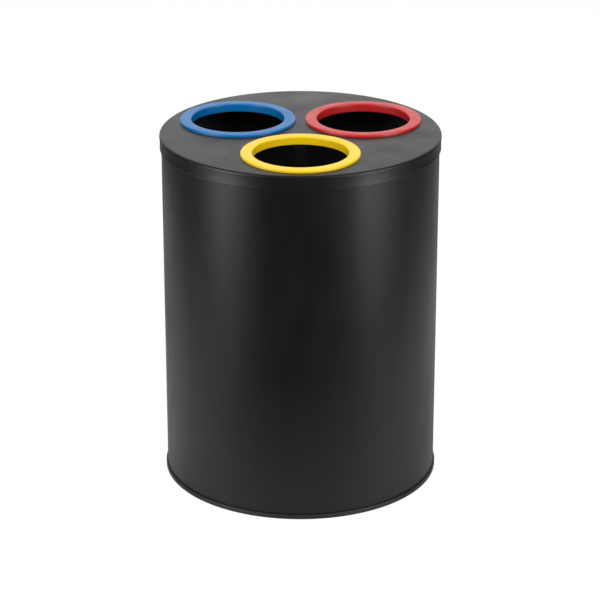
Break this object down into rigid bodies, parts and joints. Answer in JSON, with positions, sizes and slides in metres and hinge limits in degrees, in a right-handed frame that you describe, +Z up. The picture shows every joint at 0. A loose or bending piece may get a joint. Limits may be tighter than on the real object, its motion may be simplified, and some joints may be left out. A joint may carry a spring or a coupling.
{
  "type": "recycling bin station",
  "caption": "Round free-standing recycling bin for separated waste: a steel body with a lift-off lid, coloured mouth rings over lift-out liners with bail handles.",
  "frame": {"origin": "on the floor at the axis of the round body", "axes": "+Z up along the body's axis, front with the yellow mouth towards -Y, red mouth at back right, blue mouth at back left"},
  "size_m": [0.4599, 0.46, 0.5946],
  "materials": {
    "body_coat": "satin fine-textured black powder coat",
    "lid_coat": "satin fine-textured black powder coat",
    "inner_coat": "thin black powder coat inside",
    "rim_wire": "drawn wire",
    "edging": "extruded black PVC",
    "plastic_yellow": "moulded yellow plastic, satin gloss",
    "plastic_red": "moulded red plastic, satin gloss",
    "plastic_blue": "moulded blue plastic, satin gloss",
    "liner_plastic": "moulded black polypropylene",
    "bail_wire": "zinc-plated wire",
    "grip_plastic": "moulded black plastic"
  },
  "bodies": {
    "body": {"body_shell": "body_coat", "rim_wire": "rim_wire", "base_pan": "inner_coat", "base_ring": "edging", "liner_brackets": "inner_coat"},
    "lid": {"lid_top": "lid_coat", "lid_skirt": "lid_coat", "lid_tabs": "inner_coat"},
    "ring_yellow": {"ring_yellow": "plastic_yellow"},
    "ring_red": {"ring_red": "plastic_red"},
    "ring_blue": {"ring_blue": "plastic_blue"},
    "liner_yellow": {"liner_yellow": "liner_plastic"},
    "liner_red": {"liner_red": "liner_plastic"},
    "liner_blue": {"liner_blue": "liner_plastic"},
    "bail_yellow": {"bail_yellow": "bail_wire", "grip_yellow": "grip_plastic"},
    "bail_red": {"bail_red": "bail_wire", "grip_red": "grip_plastic"},
    "bail_blue": {"bail_blue": "bail_wire", "grip_blue": "grip_plastic"}
  },
  "joints": [
    {"name": "lid_lift", "type": "slide", "parent": "body", "child": "lid", "axis": [0, 0, 1], "range_m": [0, 0.75]},
    {"name": "ring_yellow_lift", "type": "slide", "parent": "lid", "child": "ring_yellow", "axis": [0, 0, 1], "range_m": [0, 0.06]},
    {"name": "ring_red_lift", "type": "slide", "parent": "lid", "child": "ring_red", "axis": [0, 0, 1], "range_m": [0, 0.06]},
    {"name": "ring_blue_lift", "type": "slide", "parent": "lid", "child": "ring_blue", "axis": [0, 0, 1], "range_m": [0, 0.06]},
    {"name": "liner_yellow_lift", "type": "slide", "parent": "body", "child": "liner_yellow", "axis": [0, 0, 1], "range_m": [0, 0.6]},
    {"name": "liner_red_lift", "type": "slide", "parent": "body", "child": "liner_red", "axis": [0, 0, 1], "range_m": [0, 0.6]},
    {"name": "liner_blue_lift", "type": "slide", "parent": "body", "child": "liner_blue", "axis": [0, 0, 1], "range_m": [0, 0.6]},
    {"name": "bail_yellow_swing", "type": "hinge", "parent": "liner_yellow", "child": "bail_yellow", "pos_m": [0, -0.1195, 0.4755], "axis": [-1, 0, 0], "range_deg": [0, 180]},
    {"name": "bail_red_swing", "type": "hinge", "parent": "liner_red", "child": "bail_red", "pos_m": [0.10349, 0.05975, 0.4755], "axis": [0.5, -0.866, 0], "range_deg": [0, 180]},
    {"name": "bail_blue_swing", "type": "hinge", "parent": "liner_blue", "child": "bail_blue", "pos_m": [-0.10349, 0.05975, 0.4755], "axis": [0.5, 0.866, 0], "range_deg": [0, 180]}
  ],
  "couplings": [
    {"joint": "liner_yellow_lift", "follows": "lid_lift", "ratio": 0.8},
    {"joint": "liner_red_lift", "follows": "lid_lift", "ratio": 0.8},
    {"joint": "liner_blue_lift", "follows": "lid_lift", "ratio": 0.8}
  ]
}
